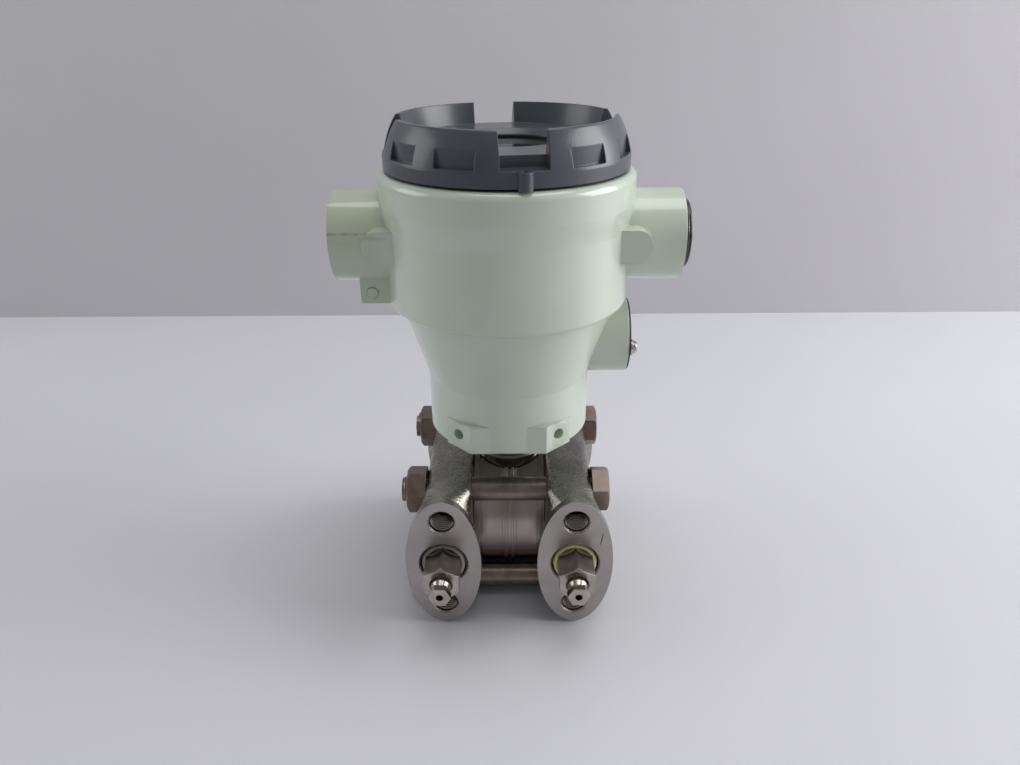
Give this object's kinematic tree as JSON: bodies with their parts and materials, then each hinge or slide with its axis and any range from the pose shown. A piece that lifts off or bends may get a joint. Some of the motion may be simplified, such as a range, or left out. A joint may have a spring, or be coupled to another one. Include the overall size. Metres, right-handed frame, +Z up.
{
  "type": "differential pressure transmitter",
  "caption": "Industrial differential pressure transmitter: bolted process flanges with vent plugs, a round capsule, and a cast housing with conduit bosses and a screwed window cover.",
  "frame": {"origin": "on the bench, under the middle of the instrument's outline", "axes": "+Z up along the housing's axis, +X towards the plugged conduit boss, -Y towards the vent plugs"},
  "size_m": [0.1378, 0.1171, 0.201],
  "materials": {
    "mint_paint": "gloss",
    "slate_paint": "satin",
    "cast_stainless": "satin",
    "turned_stainless": "polished",
    "bolt_steel": "satin",
    "vent_steel": "polished",
    "foil_steel": "polished",
    "plate_steel": "satin",
    "screw_steel": "satin",
    "black_rubber": "matte",
    "yellow_seal": "satin",
    "white_seal": "matte",
    "window_glass": "gloss",
    "black_plastic": "gloss",
    "dark_plastic": "matte",
    "screen": "gloss",
    "board_green": "satin",
    "can_metal": "satin",
    "brass": "satin"
  },
  "bodies": {
    "meter_body": {"capsule_half_left": "turned_stainless", "capsule_half_right": "turned_stainless", "capsule_weld_ring": "turned_stainless", "neck_tube": "turned_stainless", "centre_diaphragm": "foil_steel", "neck_seal": "black_rubber", "neck_retaining_ring": "screw_steel", "sensor_electronics": "can_metal", "flange_bolts": "bolt_steel", "flange_nuts": "bolt_steel", "process_flange_left": "cast_stainless", "flange_gasket_left": "white_seal", "isolating_diaphragm_left": "foil_steel", "vent_plug_left": "vent_steel", "vent_seal_left": "vent_steel", "process_flange_right": "cast_stainless", "flange_gasket_right": "white_seal", "isolating_diaphragm_right": "foil_steel", "vent_plug_right": "vent_steel", "vent_seal_right": "yellow_seal"},
    "housing_body": {"housing": "mint_paint", "housing_set_screws": "screw_steel", "tab_screw": "mint_paint", "side_cover_plate": "plate_steel", "earth_screw": "screw_steel", "terminal_block": "dark_plastic", "terminal_screws": "brass", "board_posts": "screw_steel", "circuit_board": "board_green", "display_module": "dark_plastic", "display_screen": "screen"},
    "cover_thread": {"cover_seal": "black_rubber"},
    "cover_body": {"cover": "slate_paint", "cover_lock_screw": "screw_steel", "cover_window": "window_glass", "window_gasket": "black_rubber", "window_retainer": "slate_paint"},
    "plug_thread": {"conduit_plug_seal": "black_rubber"},
    "plug_body": {"conduit_plug": "black_plastic"},
    "vent_thread_left": {"vent_ball_left": "foil_steel"},
    "vent_needle_body_left": {"vent_needle_left": "vent_steel"},
    "vent_thread_right": {"vent_ball_right": "foil_steel"},
    "vent_needle_body_right": {"vent_needle_right": "vent_steel"}
  },
  "joints": [
    {"name": "housing_swivel", "type": "hinge", "parent": "meter_body", "child": "housing_body", "pos_m": [-0.00175, 0.00945, 0.0928], "axis": [0, 0, 1], "range_deg": [-180, 180]},
    {"name": "cover_lift", "type": "slide", "parent": "housing_body", "child": "cover_thread", "axis": [0, 0, 1], "range_m": [0, 0.0101]},
    {"name": "cover_turn", "type": "hinge", "parent": "cover_thread", "child": "cover_body", "pos_m": [-0.00175, 0.00945, 0.1832], "axis": [0, 0, 1], "range_deg": [0, 1800]},
    {"name": "conduit_plug_lift", "type": "slide", "parent": "housing_body", "child": "plug_thread", "axis": [1, 0, 0], "range_m": [0, 0.0121]},
    {"name": "conduit_plug_turn", "type": "hinge", "parent": "plug_thread", "child": "plug_body", "pos_m": [0.06545, 0.00945, 0.156], "axis": [1, 0, 0], "range_deg": [0, 2880]},
    {"name": "vent_left_lift", "type": "slide", "parent": "meter_body", "child": "vent_thread_left", "axis": [0, -1, 0], "range_m": [0, 0.00254]},
    {"name": "vent_left_turn", "type": "hinge", "parent": "vent_thread_left", "child": "vent_needle_body_left", "pos_m": [-0.02875, -0.03855, 0.0313], "axis": [0, -1, 0], "range_deg": [0, 728]},
    {"name": "vent_right_lift", "type": "slide", "parent": "meter_body", "child": "vent_thread_right", "axis": [0, -1, 0], "range_m": [0, 0.00254]},
    {"name": "vent_right_turn", "type": "hinge", "parent": "vent_thread_right", "child": "vent_needle_body_right", "pos_m": [0.02525, -0.03855, 0.0313], "axis": [0, -1, 0], "range_deg": [0, 728]}
  ],
  "couplings": [
    {"joint": "cover_lift", "follows": "cover_turn", "m_per_rad": 0.00031831},
    {"joint": "conduit_plug_lift", "follows": "conduit_plug_turn", "m_per_rad": 0.00023873},
    {"joint": "vent_left_turn", "follows": "vent_left_lift", "rad_per_m": 4947.4},
    {"joint": "vent_right_turn", "follows": "vent_right_lift", "rad_per_m": 4947.4}
  ]
}
